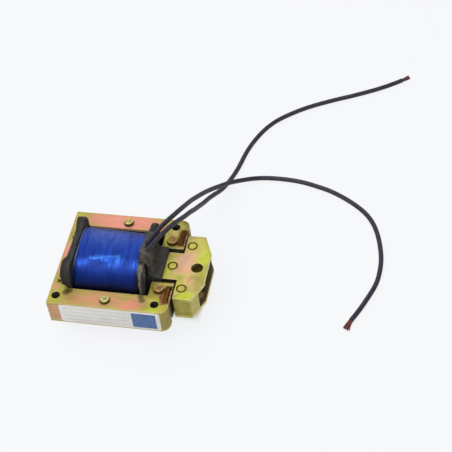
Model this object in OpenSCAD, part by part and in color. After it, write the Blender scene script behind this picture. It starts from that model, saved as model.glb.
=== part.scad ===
// Pull electromagnet with a laminated frame, a taped coil and a T-shaped plunger.
// Millimetres, +Z up, +X along the pull of the plunger, label on the -Y side.
// Origin: middle of the outline seen from above, on the plane under the coil flanges.

/* [Frame] */
// Frame length from the back of the yoke to the pole faces
frame_len = 60.6; // [54:0.1:70]
// Frame width across both legs
frame_w = 60; // [54:0.5:70]
// Height of the riveted stack, the same for frame and plunger
stack_h = 14.6; // [12:0.1:20]
// Thickness of the outer plates of the frame
plate_t = 1.25; // [0.8:0.05:2]
// Width of the yoke at the back
yoke_w = 8.1; // [6:0.1:10]
// Width of each leg
leg_w = 10; // [8:0.1:11]
// Length of the pole arms along the pull
pole_len = 11.3; // [10:0.1:14]
// Gap between the two pole arms
mouth_w = 22; // [21:0.1:24]
// Radius of the two outer corners at the poles
corner_r = 4.5; // [1:0.1:6]

/* [Mounting holes] */
// Diameter of the four mounting holes
hole_d = 4.3; // [3.2:0.1:5]
// Distance of the rear holes from the back of the yoke
hole_back = 3.7; // [3.3:0.1:4.5]
// Distance of the front holes behind the pole faces
hole_front = 6.9; // [6.3:0.1:8]
// Distance of the holes from the sides of the frame
hole_side = 5; // [3.5:0.1:5.5]

/* [Frame rivets] */
// Diameter of the rivet holes through the frame
rivet_hole_d = 3; // [2:0.1:3.5]
// Head diameter of the leg and yoke rivets
leg_head_d = 4.6; // [4:0.1:5.5]
// Head diameter of the pole rivets
pole_head_d = 5.4; // [4.5:0.1:6]
// Height of the heads
head_h = 1.6; // [0.6:0.1:2]
// Bevel round the heads
head_bevel = 0.3; // [0.1:0.1:0.5]
// Distance of the leg rivets from the back of the yoke
leg_rivet_x = 28.9; // [20:0.1:36]
// Distance of the leg rivets from the side of the frame
leg_rivet_in = 4.7; // [3.5:0.1:5.5]
// Distance of the pole rivets behind the pole faces
pole_rivet_in = 6.6; // [6.4:0.1:8]
// Distance of the pole rivets from the sides of the frame
pole_rivet_side = 14.5; // [13:0.1:15.5]
// Distance of the yoke rivets from the sides of the frame
yoke_rivet_side = 16; // [12:0.1:20]

/* [Shading rings] */
// Width of the copper strip along the pull
ring_w = 2; // [1:0.1:2.5]
// Thickness of the copper strip
ring_t = 1.2; // [0.6:0.05:1.25]
// Distance of each ring from the mouth between the poles
ring_mouth = 2; // [1:0.1:3]
// Distance of each ring from the side of the frame
ring_side = 6.6; // [5:0.1:10]
// Distance of the rings behind the pole faces
ring_set = 1.3; // [0.4:0.1:1.5]

/* [Coil] */
// Wall of the fibre tube
tube_wall = 1.2; // [0.6:0.1:1.4]
// Free play between plunger stem and tube on each side
tube_clear = 0.4; // [0.2:0.05:0.6]
// Distance of the tube end behind the pole faces
neck_set = 6.7; // [2:0.1:9]
// Thickness of the coil flanges
flange_t = 2.5; // [1.5:0.1:3]
// Distance of the flange rims outside the tape at the sides
flange_rim = 0.6; // [0.3:0.1:1.5]
// Height of the flange rims above and below the tape
rim_top = 1.7; // [0.5:0.1:3]
// Corner radius of the flanges
flange_r = 6.5; // [4:0.5:10]
// Lean of the rear flange over the yoke along its middle
rear_lean = 0.5; // [0.2:0.1:1]
// Lean of the rear flange over the yoke at its upper corners
corner_lean = 2.2; // [1.2:0.1:2.4]
// Lean of the front flange towards the poles at the label side
front_lean = 1.3; // [0.5:0.1:1.8]
// Lean of the front flange towards the poles at the far side
far_lean = 0.6; // [0.2:0.1:1.8]
// Width over which the flanges bend beside the black tape
bend_w = 3; // [2:0.5:5]
// Corner radius of the wound coil as a share of its smaller half size
wrap_round = 0.92; // [0.6:0.01:0.96]
// Thickness of the blue tape
wrap_t = 0.4; // [0.2:0.05:0.8]
// Space between front flange and pole arms
coil_slack = 2.9; // [2:0.1:4]

/* [Lead tape] */
// Width of the black tape that holds the leads
tape_w = 20; // [16:0.5:20]
// Thickness of the black tape where it is folded
tape_t = 1; // [0.5:0.1:1.5]
// Reach of the black tape onto the blue tape
tape_reach = 0.5; // [0.3:0.1:5]
// Thickness of the black tape on the end of the tube
neck_tape_t = 0.5; // [0.3:0.1:1]

/* [Leads] */
// Outside diameter of the leads
lead_d = 2.5; // [1.6:0.1:3]
// Length of the stripped ends
strip_len = 4.5; // [3:0.5:8]
// Diameter of the bare strands at the insulation
strand_d = 1.3; // [0.8:0.1:1.5]
// Diameter of the solder joints under the tape
splice_d = 1.6; // [1:0.1:2]
// Length of the solder joints
splice_len = 9; // [5:0.5:12]
// Distance of the solder joints from the centre line
splice_y = 4; // [2:0.5:7]

/* [Label] */
// Length of the label
label_w = 51; // [40:0.5:52]
// Height of the label
label_h = 13; // [8:0.5:13]
// Thickness of the label
label_t = 0.15; // [0.1:0.05:0.3]
// Corner radius of the label
label_r = 1.5; // [0.5:0.1:3]
// Distance of the label from the back of the yoke
label_x = 6; // [4:0.1:8]

/* [Plunger] */
// Width of the stem
stem_w = 17; // [15:0.1:17.5]
// Gap between the stem end and the yoke at rest
stem_gap = 1.5; // [1.2:0.1:4]
// Gap between plunger shoulders and pole faces at rest
rest_gap = 0.9; // [0.9:0.1:1.2]
// Length of the head from the shoulders to the nose
head_len = 13.6; // [13:0.1:18]
// Width of the head across the shoulders
head_w = 40.4; // [38:0.2:46]
// Width of the flat nose
nose_w = 20; // [16:0.5:24]
// Length of the sloping sides beside the nose
nose_len = 4.75; // [3:0.25:6]
// Thickness of the cheek plates that carry the clevis pin
cheek_t = 2.25; // [1.5:0.05:3]

/* [Clevis] */
// Diameter of the pin hole
pin_d = 6; // [4:0.1:6.5]
// Distance of the pin hole from the nose
pin_in = 5.3; // [5:0.1:6]
// Depth of the link slot from the nose
slot_depth = 11.2; // [9:0.1:11.5]
// Width of the slot at its bottom
slot_floor_w = 18; // [12:0.5:18]
// Width of the slot at its mouth
slot_mouth_w = 28.4; // [20:0.2:29]
// Depth over which the slot keeps its full width
slot_mouth_len = 6.4; // [4:0.1:7]

/* [Plunger rivets] */
// Shank diameter of the flush rivets
flush_d = 3.4; // [2.5:0.1:3.6]
// Diameter of the flush heads
flush_head_d = 5; // [4:0.1:5.2]
// Depth of the flush heads
flush_head_h = 0.8; // [0.6:0.1:1]
// Diameter of the flat disc inside the staked groove
stake_disc_d = 3.5; // [2.5:0.1:3.7]
// Width of the staked groove
stake_w = 0.45; // [0.2:0.05:0.6]
// Depth of the staked groove
stake_h = 0.35; // [0.1:0.05:0.5]
// Distance of the shoulder rivets from the centre line
shoulder_rivet_y = 13.7; // [13.5:0.1:16]
// Distance of the shoulder rivets in front of the shoulders
shoulder_rivet_x = 3.2; // [3:0.1:3.4]
// Distance of the front stem rivet behind the shoulders
stem_rivet_x = 4.1; // [3.5:0.1:8]
// Distance of the rear stem rivet from the stem end
stem_rivet_end = 6; // [4:0.5:12]

/* [Hidden] */
$fn = 64;
// Clearance round each rivet shank
rivet_clear = 0.05;
// Clearance between the copper rings and the steel round them
ring_clear = 0.1;
// Air between winding and tape
wrap_clear = 0.05;
// Clearance between coil flanges and legs
flange_clear = 0.2;
// Height of the bend in the rear flange over the top plate
lean_foot = 0.5;
// Clearance round each solder joint in its groove
splice_clear = 0.2;
// Overshoot of the cutting bodies
over = 1;
// Height of a lead's underside over the flange rim where it leaves the tape
lead_lift = 0.3;

// Places along the pull
total_len = frame_len + rest_gap + head_len;
back_x = -total_len / 2;
yoke_x = back_x + yoke_w;
pole_x = back_x + frame_len;
arm_x = pole_x - pole_len;
shoulder_x = pole_x + rest_gap;
nose_x = shoulder_x + head_len;
stem_end_x = yoke_x + stem_gap;
pin_x = nose_x - pin_in;
neck_x = pole_x - neck_set;
rear_in_x = yoke_x + flange_t;
front_out_x = arm_x - coil_slack;
front_in_x = front_out_x - flange_t;
hole_rear_x = back_x + hole_back;
hole_front_x = pole_x - hole_front;

// Places across the pull
hole_y = frame_w / 2 - hole_side;
leg_rivet_y = frame_w / 2 - leg_rivet_in;
pole_rivet_y = frame_w / 2 - pole_rivet_side;
yoke_rivet_y = frame_w / 2 - yoke_rivet_side;
ring_in = mouth_w / 2 + ring_mouth;
ring_out = frame_w / 2 - ring_side;
ring_len = ring_out - ring_in;

// Half sizes of the coil across the pull
window_y = frame_w / 2 - leg_w;
bore_y = stem_w / 2 + tube_clear;
bore_z = stack_h / 2 + tube_clear;
tube_y = bore_y + tube_wall;
tube_z = bore_z + tube_wall;
flange_y = window_y - flange_clear;
build = flange_y - flange_rim - tube_y;
wrap_y = tube_y + build;
wrap_z = tube_z + build;
flange_z = wrap_z + rim_top;
wrap_r = wrap_round * min(wrap_y, wrap_z);
winding_y = wrap_y - wrap_t - wrap_clear;
winding_z = wrap_z - wrap_t - wrap_clear;
winding_r = wrap_r - wrap_t - wrap_clear;

// Places across the pull where the flanges bend
bend_in = tape_w / 2;
bend_out = bend_in + bend_w;
far_in = flange_y / 5;
far_out = 0.9 * flange_y;

// Heights
mid_z = flange_z;
low_z = mid_z - stack_h / 2;
top_z = mid_z + stack_h / 2;
rim_z = 2 * flange_z;
core_h = stack_h - 2 * plate_t;
slot_h = stack_h - 2 * cheek_t;
splice_z = mid_z + winding_z - splice_clear - splice_d / 2;

// Shading ring loop
ring_x = pole_x - ring_set - ring_w;

// Lead routes: across from the rim's middle, away from the centre line,
// and the height of the underside in percent of its height at the rim
lead_exit_x = (front_in_x + front_out_x) / 2;
lead_exit_h = rim_z + lead_lift;
route_a = [
    [0.5, -5.5, 100], [2, -2.5, 100], [4.5, 3.5, 100], [7.5, 9.5, 100], [10, 15.5, 97],
    [12, 21.5, 90], [13.5, 27, 82], [14.5, 33, 74], [15.5, 38, 65], [16, 43.5, 56],
    [17, 49, 47], [17.5, 55, 38], [18.5, 60.5, 30], [19.5, 66, 21], [21, 71.5, 13],
    [22, 77.5, 6], [23.5, 84, 2], [25, 90, 0], [26.5, 96.5, 0], [27.5, 103, 0],
    [29, 109.5, 0], [31, 115.5, 0], [33.5, 121.5, 0], [36.5, 127, 0], [40.5, 132.5, 0],
    [45.5, 137, 0], [50.5, 141, 0], [55.5, 144.5, 0], [61.5, 148, 0], [67.5, 151, 0],
    [73.5, 154, 0], [79.5, 156.5, 0], [85.5, 159.5, 0], [91.5, 162.5, 0], [97, 165.5, 0],
    [102.5, 169, 0], [108, 173, 0]
];
route_b = [
    [-0.5, -1, 100], [2, 5, 100], [4.5, 11.5, 100], [7, 17.5, 98], [9, 24, 92],
    [10.5, 30, 86], [12, 36, 79], [13, 42, 71], [14.5, 47.5, 63], [16, 53, 55],
    [17.5, 58.5, 46], [19.5, 64, 37], [22, 69.5, 28], [25, 75, 20], [28.5, 79.5, 12],
    [33, 84, 5], [38.5, 87, 1], [45, 88, 0], [51.5, 88, 0], [58, 87.5, 0],
    [64.5, 86.5, 0], [71, 84.5, 0], [77.5, 82.5, 0], [83.5, 79.5, 0], [89.5, 76, 0],
    [95, 72, 0], [100, 67.5, 0], [104, 62, 0], [107, 55.5, 0], [109, 49, 0],
    [110.5, 42.5, 0], [111.5, 36, 0], [111.5, 29, 0], [111, 22, 0], [109, 15.5, 0],
    [106.5, 9, 0], [104, 2.5, 0], [101, -3.5, 0]
];

function unit(v) = v / norm(v);
function along(path, i) = unit(path[min(i + 1, len(path) - 1)] - path[max(i - 1, 0)]);
function place(p) = [lead_exit_x + p[0], p[1], lead_d / 2 + p[2] / 100 * lead_exit_h];
function lead_path(route) = [for (p = route) place(p)];
function around(p, t, r, sides) =
    let (side = unit(cross([0, 0, 1], t)), up = cross(t, side))
    [for (k = [0 : sides - 1]) p + r * (cos(360 * k / sides) * side + sin(360 * k / sides) * up)];

// Tube swept along a path with eight sides
module tube_along(path, d) {
    sides = 8;
    last = len(path) - 1;
    rings = [for (i = [0 : last]) each around(path[i], along(path, i), d / 2, sides)];
    skin = [
        for (i = [0 : last - 1], k = [0 : sides - 1])
            let (near = i * sides, far = near + sides, next = (k + 1) % sides)
                [near + k, far + k, far + next, near + next]
    ];
    start_cap = [for (k = [0 : sides - 1]) k];
    end_cap = [for (k = [sides - 1 : -1 : 0]) last * sides + k];
    polyhedron(rings, concat(skin, [start_cap], [end_cap]));
}

// Bare strands that widen from the end of a path
module strands_at(path) {
    last = len(path) - 1;
    run = path[last] - path[last - 1];
    translate(path[last])
        rotate([0, 90, atan2(run[1], run[0])])
            cylinder(h = strip_len, d1 = strand_d, d2 = lead_d);
}

// Rectangle centred on the axis with rounded corners
module round_rect(half_x, half_y, r) {
    square([2 * (half_x - r), 2 * half_y], center = true);
    square([2 * half_x, 2 * (half_y - r)], center = true);
    for (x = [-1, 1], y = [-1, 1])
        translate([x * (half_x - r), y * (half_y - r)])
            circle(r);
}

// Rounded slice across the pull from x1 to x2, cut out in the middle by its children
module coil_slice(x1, x2, half_y, half_z, r) {
    translate([x1, 0, mid_z])
        rotate([90, 0, 90])
            linear_extrude(x2 - x1)
                difference() {
                    round_rect(half_y, half_z, r);
                    children();
                }
}

// Cut for the square tube
module tube_cut() {
    square([2 * tube_y, 2 * tube_z], center = true);
}

// C-shaped outline of the frame
module frame_outline() {
    difference() {
        union() {
            translate([back_x, -frame_w / 2])
                square([frame_len - corner_r, frame_w]);
            translate([back_x, corner_r - frame_w / 2])
                square([frame_len, frame_w - 2 * corner_r]);
            for (y = [-1, 1])
                translate([pole_x - corner_r, y * (frame_w / 2 - corner_r)])
                    circle(corner_r);
        }
        translate([yoke_x, -window_y])
            square([arm_x - yoke_x, 2 * window_y]);
        translate([arm_x - over, -mouth_w / 2])
            square([pole_len + 2 * over, mouth_w]);
    }
}

// Mounting holes and rivet holes of the frame
module frame_holes() {
    for (x = [hole_rear_x, hole_front_x], y = [-1, 1])
        translate([x, y * hole_y])
            circle(d = hole_d);
    for (y = [-1, 1]) {
        translate([back_x + leg_rivet_x, y * leg_rivet_y])
            circle(d = rivet_hole_d);
        translate([back_x + yoke_w / 2, y * yoke_rivet_y])
            circle(d = rivet_hole_d);
        translate([pole_x - pole_rivet_in, y * pole_rivet_y])
            circle(d = rivet_hole_d);
    }
}

// Outer plate of the frame with a notch over each shading ring
module frame_plate(z) {
    translate([0, 0, z])
        linear_extrude(plate_t)
            difference() {
                frame_outline();
                frame_holes();
                for (y = [ring_in - ring_clear, -ring_out - ring_clear])
                    translate([ring_x - ring_clear, y])
                        square([ring_w + ring_set + ring_clear + over, ring_len + 2 * ring_clear]);
            }
}

module frame_top_plate() {
    color([0.72, 0.68, 0.36])
        frame_plate(top_z - plate_t);
}

module frame_bottom_plate() {
    color([0.72, 0.68, 0.36])
        frame_plate(low_z);
}

// Lamination pack with slots in the pole faces for the legs of the rings
module frame_laminations() {
    slot_y = ring_t + 2 * ring_clear;
    color([0.66, 0.64, 0.38])
        translate([0, 0, low_z + plate_t])
            linear_extrude(core_h)
                difference() {
                    frame_outline();
                    frame_holes();
                    for (y = [ring_in - ring_clear, ring_out - ring_t - ring_clear], s = [-1, 1])
                        translate([ring_x - ring_clear, s * (y + slot_y / 2) - slot_y / 2])
                            square([ring_w + ring_set + ring_clear + over, slot_y]);
                }
}

// Flat bevelled head on its seat
module rivet_head(d) {
    cylinder(h = head_h - head_bevel, d = d);
    translate([0, 0, head_h - head_bevel])
        cylinder(h = head_bevel, d1 = d, d2 = d - 2 * head_bevel);
}

// Rivet through the frame with a head on both sides
module frame_rivet(x, y, d) {
    translate([x, y, 0]) {
        translate([0, 0, low_z])
            cylinder(h = stack_h, d = rivet_hole_d - 2 * rivet_clear);
        translate([0, 0, top_z])
            rivet_head(d);
        translate([0, 0, low_z])
            mirror([0, 0, 1])
                rivet_head(d);
    }
}

module leg_rivets() {
    color([0.75, 0.70, 0.35])
        for (y = [-1, 1])
            frame_rivet(back_x + leg_rivet_x, y * leg_rivet_y, leg_head_d);
}

module yoke_rivets() {
    color([0.75, 0.70, 0.35])
        for (y = [-1, 1])
            frame_rivet(back_x + yoke_w / 2, y * yoke_rivet_y, leg_head_d);
}

module pole_rivets() {
    color([0.72, 0.55, 0.33])
        for (y = [-1, 1])
            frame_rivet(pole_x - pole_rivet_in, y * pole_rivet_y, pole_head_d);
}

// Closed copper loop round part of one pole
module shading_ring(y) {
    translate([ring_x, y, mid_z - core_h / 2 - ring_t])
        difference() {
            cube([ring_w, ring_len, core_h + 2 * ring_t]);
            translate([-over, ring_t, ring_t])
                cube([ring_w + 2 * over, ring_len - 2 * ring_t, core_h]);
        }
}

module shading_ring_front() {
    color([0.55, 0.33, 0.20])
        shading_ring(-ring_out);
}

module shading_ring_back() {
    color([0.55, 0.33, 0.20])
        shading_ring(ring_in);
}

// Square fibre tube that guides the stem and reaches between the poles
module coil_tube() {
    color([0.13, 0.12, 0.12])
        translate([yoke_x, 0, mid_z])
            rotate([90, 0, 90])
                linear_extrude(neck_x - yoke_x)
                    difference() {
                        square([2 * tube_y, 2 * tube_z], center = true);
                        square([2 * bore_y, 2 * bore_z], center = true);
                    }
}

// Rear flange seen from above, with the lean of its rim over the yoke
module rear_plan() {
    edge_y = flange_y + over;
    corner_x = yoke_x - corner_lean;
    rim_x = yoke_x - rear_lean;
    inner_x = rear_in_x + over;
    polygon([
        [corner_x, -edge_y], [corner_x, -bend_out], [rim_x, -bend_in],
        [rim_x, far_in], [corner_x, far_out], [corner_x, edge_y],
        [inner_x, edge_y], [inner_x, -edge_y]
    ]);
}

// Rear flange seen from the side, straight behind the stack and leaning out above it
module rear_side() {
    foot_z = top_z + lean_foot;
    corner_x = yoke_x - corner_lean;
    inner_x = rear_in_x + over;
    polygon([
        [yoke_x, -over], [yoke_x, foot_z], [corner_x, foot_z + corner_lean],
        [corner_x, rim_z + over], [inner_x, rim_z + over], [inner_x, -over]
    ]);
}

// Front flange seen from above, with both sides bent towards the poles
module front_plan() {
    edge_y = flange_y + over;
    near = [[front_lean, -edge_y], [front_lean, -bend_out], [0, -bend_in]];
    far = [[0, bend_in], [far_lean, bend_out], [far_lean, edge_y]];
    bends = concat(near, far);
    last = len(bends) - 1;
    inner = [for (b = bends) [front_in_x + b[0], b[1]]];
    outer = [for (i = [last : -1 : 0]) [front_out_x + bends[i][0], bends[i][1]]];
    polygon(concat(inner, outer));
}

module rear_flange() {
    color([0.11, 0.11, 0.12])
        intersection() {
            coil_slice(yoke_x - corner_lean - over, rear_in_x, flange_y, flange_z, flange_r)
                tube_cut();
            translate([0, 0, -over])
                linear_extrude(rim_z + 2 * over)
                    rear_plan();
            translate([0, flange_y + over, 0])
                rotate([90, 0, 0])
                    linear_extrude(2 * (flange_y + over))
                        rear_side();
        }
}

module front_flange() {
    out_x = front_out_x + max(front_lean, far_lean) + over;
    color([0.11, 0.11, 0.12])
        intersection() {
            coil_slice(front_in_x - over, out_x, flange_y, flange_z, flange_r)
                tube_cut();
            translate([0, 0, -over])
                linear_extrude(rim_z + 2 * over)
                    front_plan();
        }
}

// Wire pack with two grooves for the solder joints
module winding() {
    groove_w = splice_d + 2 * splice_clear;
    groove_len = splice_len + 2 * splice_clear;
    groove_z = mid_z + winding_z - groove_w;
    color([0.60, 0.30, 0.14])
        difference() {
            coil_slice(rear_in_x, front_in_x, winding_y, winding_z, winding_r)
                tube_cut();
            for (y = [-1, 1])
                translate([front_in_x - groove_len, y * splice_y - groove_w / 2, groove_z])
                    cube([groove_len + over, groove_w, groove_w + over]);
        }
}

module coil_wrap() {
    color([0.05, 0.16, 0.62])
        coil_slice(rear_in_x, front_in_x, wrap_y, wrap_z, wrap_r)
            round_rect(wrap_y - wrap_t, wrap_z - wrap_t, wrap_r - wrap_t);
}

// Solder joints between wire and leads
module lead_splices() {
    color([0.70, 0.68, 0.66])
        for (y = [-1, 1])
            translate([front_in_x - splice_clear - splice_len, y * splice_y, splice_z])
                rotate([0, 90, 0])
                    cylinder(h = splice_len, d = splice_d);
}

// Black tape folded over the rim of the front flange and down onto the tube
module lead_tape() {
    tape_x = front_in_x - tape_reach;
    wrap_top = mid_z + wrap_z;
    tube_top = mid_z + tube_z;
    color([0.10, 0.10, 0.10])
        translate([0, -tape_w / 2, 0]) {
            translate([tape_x, 0, rim_z])
                cube([front_out_x + tape_t - tape_x, tape_w, tape_t]);
            translate([tape_x, 0, wrap_top])
                cube([tape_reach, tape_w, rim_z - wrap_top]);
            translate([front_out_x, 0, tube_top])
                cube([tape_t, tape_w, rim_z - tube_top]);
            translate([front_out_x, 0, tube_top])
                cube([neck_x - front_out_x, tape_w, neck_tape_t]);
        }
}

module lead_a() {
    color([0.12, 0.12, 0.13])
        tube_along(lead_path(route_a), lead_d);
}

module lead_b() {
    color([0.13, 0.12, 0.15])
        tube_along(lead_path(route_b), lead_d);
}

module lead_a_strands() {
    color([0.55, 0.25, 0.16])
        strands_at(lead_path(route_a));
}

module lead_b_strands() {
    color([0.55, 0.25, 0.16])
        strands_at(lead_path(route_b));
}

// Label on the front side of the stack
module label() {
    color([0.90, 0.88, 0.80])
        translate([back_x + label_x + label_w / 2, -frame_w / 2, mid_z])
            rotate([90, 0, 0])
                linear_extrude(label_t)
                    round_rect(label_w / 2, label_h / 2, label_r);
}

// T-shaped outline of the plunger
module plunger_outline() {
    polygon([
        [stem_end_x, -stem_w / 2], [shoulder_x, -stem_w / 2], [shoulder_x, -head_w / 2],
        [nose_x - nose_len, -head_w / 2], [nose_x, -nose_w / 2], [nose_x, nose_w / 2],
        [nose_x - nose_len, head_w / 2], [shoulder_x, head_w / 2], [shoulder_x, stem_w / 2],
        [stem_end_x, stem_w / 2]
    ]);
}

// Places of the plunger rivets
module at_plunger_rivets() {
    for (y = [-1, 1])
        translate([shoulder_x + shoulder_rivet_x, y * shoulder_rivet_y, 0])
            children();
    translate([shoulder_x - stem_rivet_x, 0, 0])
        children();
    translate([stem_end_x + stem_rivet_end, 0, 0])
        children();
}

// Flush rivet, or the hole for it when grown by a clearance
module flush_rivet(grow) {
    translate([0, 0, low_z])
        cylinder(h = stack_h, d = flush_d + 2 * grow);
    for (z = [low_z, top_z - flush_head_h])
        translate([0, 0, z])
            cylinder(h = flush_head_h, d = flush_head_d + 2 * grow);
}

// Cutter for the staked groove, open to the outside of the stack
module stake_groove(z) {
    translate([0, 0, z])
        difference() {
            cylinder(h = stake_h + over, d = stake_disc_d + 2 * stake_w);
            cylinder(h = stake_h + over, d = stake_disc_d);
        }
}

// Cheek plate with the pin hole
module plunger_plate(z) {
    difference() {
        translate([0, 0, z])
            linear_extrude(cheek_t)
                plunger_outline();
        translate([pin_x, 0, z - over])
            cylinder(h = cheek_t + 2 * over, d = pin_d);
        at_plunger_rivets()
            flush_rivet(rivet_clear);
    }
}

module plunger_top_plate() {
    color([0.74, 0.66, 0.38])
        plunger_plate(top_z - cheek_t);
}

module plunger_bottom_plate() {
    color([0.74, 0.66, 0.38])
        plunger_plate(low_z);
}

// Outline of the link slot, wider at its mouth
module slot_outline() {
    floor_x = nose_x - slot_depth;
    mouth_x = nose_x - slot_mouth_len;
    polygon([
        [floor_x, -slot_floor_w / 2], [mouth_x, -slot_mouth_w / 2],
        [nose_x + over, -slot_mouth_w / 2], [nose_x + over, slot_mouth_w / 2],
        [mouth_x, slot_mouth_w / 2], [floor_x, slot_floor_w / 2]
    ]);
}

// Lamination pack between the cheeks, cut away at the nose for the link
module plunger_laminations() {
    color([0.66, 0.62, 0.38])
        translate([0, 0, low_z + cheek_t])
            linear_extrude(slot_h)
                difference() {
                    plunger_outline();
                    at_plunger_rivets()
                        circle(d = flush_d + 2 * rivet_clear);
                    slot_outline();
                }
}

// Flush rivets with a staked groove round a flat disc
module plunger_rivets() {
    color([0.74, 0.62, 0.40])
        at_plunger_rivets()
            difference() {
                flush_rivet(0);
                stake_groove(top_z - stake_h);
                stake_groove(low_z - over);
            }
}

frame_top_plate();
frame_bottom_plate();
frame_laminations();
leg_rivets();
yoke_rivets();
pole_rivets();
shading_ring_front();
shading_ring_back();
coil_tube();
rear_flange();
front_flange();
winding();
coil_wrap();
lead_splices();
lead_tape();
lead_a();
lead_b();
lead_a_strands();
lead_b_strands();
label();
plunger_top_plate();
plunger_bottom_plate();
plunger_laminations();
plunger_rivets();
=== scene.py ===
import math
import random
import bpy
from mathutils import Matrix, Vector, noise


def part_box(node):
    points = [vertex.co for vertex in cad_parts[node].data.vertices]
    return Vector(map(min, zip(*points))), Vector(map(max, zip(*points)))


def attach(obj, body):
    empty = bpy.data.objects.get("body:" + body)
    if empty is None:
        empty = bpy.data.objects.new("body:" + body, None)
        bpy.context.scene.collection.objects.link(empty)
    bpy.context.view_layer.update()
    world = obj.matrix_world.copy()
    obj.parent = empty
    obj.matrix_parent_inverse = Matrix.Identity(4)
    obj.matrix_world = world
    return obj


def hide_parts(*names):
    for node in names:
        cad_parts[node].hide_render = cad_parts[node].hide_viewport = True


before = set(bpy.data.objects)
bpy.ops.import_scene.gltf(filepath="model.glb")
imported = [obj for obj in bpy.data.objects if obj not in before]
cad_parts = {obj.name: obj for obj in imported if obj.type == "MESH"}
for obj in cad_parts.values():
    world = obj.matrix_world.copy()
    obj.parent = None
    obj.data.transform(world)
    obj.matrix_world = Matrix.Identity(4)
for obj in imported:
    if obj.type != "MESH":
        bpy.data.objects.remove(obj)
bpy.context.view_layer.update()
bpy.ops.object.select_all(action="DESELECT")
mm = 0.001
print("frame loaded,", len(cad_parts), "nodes")

# places in mm that several pieces and finishes share

stackMid, stackHalf = 19.7, 7.3  # middle and half height of the frame and of the plunger
screwMidX, screwHalf = -8.85, 25  # middle of the four screw holes and half their spacing
coilMidX = -10.3
pinX = 32.25  # pin hole across the nose
noseX = 32.2  # where the nose's sides start to slant
headTall = 1.6  # rivet heads over the plates
plungerRivetPlaces = ((27.15, 13.7), (27.15, -13.7), (19.85, 0), (-21.95, 0))
stainDrift = 9  # how far the outline of a stain may wander


# small helpers

def millimetres(*numbers):
    return tuple(n * mm for n in numbers)


def deselect():
    bpy.ops.object.select_all(action="DESELECT")


def soloSelect(piece):
    deselect()
    piece.select_set(True)
    bpy.context.view_layer.objects.active = piece


def nameActive(name):
    piece = bpy.context.object
    piece.name = name
    piece.data.name = name
    return piece


def settle():  # place, turn and size go into the mesh
    bpy.ops.object.transform_apply(location=True, rotation=True, scale=True)


def pick(piece, test, kind="FACE"):  # selects by place and normal, and stays in edit mode
    soloSelect(piece)
    bpy.ops.object.mode_set(mode="EDIT")
    bpy.ops.mesh.select_mode(type=kind)
    bpy.ops.mesh.select_all(action="DESELECT")
    bpy.ops.object.mode_set(mode="OBJECT")
    mesh = piece.data
    spots = mesh.vertices
    if kind == "FACE":
        for part in mesh.polygons:
            part.select = bool(test(part.center / mm, part.normal))
    elif kind == "EDGE":
        for part in mesh.edges:
            a, b = (spots[i].co for i in part.vertices)
            part.select = bool(test((a + b) / 2 / mm, (b - a).normalized()))
    else:
        for part in spots:
            part.select = bool(test(part.co / mm, part.normal))
    bpy.ops.object.mode_set(mode="EDIT")


def pickAll(piece, kind="FACE"):
    pick(piece, lambda at, way: True, kind)


def leave():  # back from edit mode
    bpy.ops.object.mode_set(mode="OBJECT")


def pushMod(piece, kind, **settings):  # a modifier, set and applied
    soloSelect(piece)
    made = piece.modifiers.new(kind.lower(), kind)
    for key, value in settings.items():
        setattr(made, key, value)
    bpy.ops.object.modifier_apply(modifier=made.name)


def softenEdges(piece, width, steps, degrees=40, **settings):  # rounds the edges sharper than some degrees
    pushMod(piece, "BEVEL", width=width * mm, segments=steps, limit_method="ANGLE",
            angle_limit=math.radians(degrees), **settings)


def softShade(piece, degrees=35):
    soloSelect(piece)
    bpy.ops.object.shade_smooth_by_angle(angle=math.radians(degrees))


def mergedCopy(node, name):  # a copy of a CAD solid with its loose triangles joined into plain faces
    piece = bpy.data.objects.new(name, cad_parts[node].data.copy())
    bpy.context.scene.collection.objects.link(piece)
    piece.data.name = name
    piece.data.materials.clear()
    soloSelect(piece)
    bpy.ops.mesh.customdata_custom_splitnormals_clear()
    pickAll(piece)
    bpy.ops.mesh.remove_doubles(threshold=0.002 * mm)
    bpy.ops.mesh.dissolve_limited(angle_limit=math.radians(1))
    leave()
    return piece


def joinPieces(name, pieces):
    deselect()
    for piece in pieces:
        piece.select_set(True)
    bpy.context.view_layer.objects.active = pieces[0]
    bpy.ops.object.join()
    return nameActive(name)


def moveVerts(piece, shift):  # shift takes a place in mm and gives a move in mm
    for vert in piece.data.vertices:
        vert.co += Vector(shift(vert.co / mm)) * mm
    piece.data.update()


def wander(x, y, z, seed):  # smooth noise from -1 to 1
    return noise.noise(Vector((x + 17.3 * seed, y - 9.1 * seed, z + 4.7 * seed)))


def ease(low, high, value):  # smooth step from 0 to 1
    t = min(1, max(0, (value - low) / (high - low)))
    return t * t * (3 - 2 * t)


# shader graphs

class Wire:  # one output socket, so that shader sums read as plain sums
    def __init__(self, finish, socket):
        self.finish = finish
        self.socket = socket

    def work(self, operation, first, second):
        return self.finish.node("ShaderNodeMath", {"operation": operation}, {0: first, 1: second})

    def __add__(self, other):
        return self.work("ADD", self, other)

    def __sub__(self, other):
        return self.work("SUBTRACT", self, other)

    def __rsub__(self, other):
        return self.work("SUBTRACT", other, self)

    def __mul__(self, other):
        return self.work("MULTIPLY", self, other)

    __radd__ = __add__
    __rmul__ = __mul__

    def largest(self, other):
        return self.work("MAXIMUM", self, other)

    def size(self):
        return self.work("ABSOLUTE", self, 0)


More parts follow.
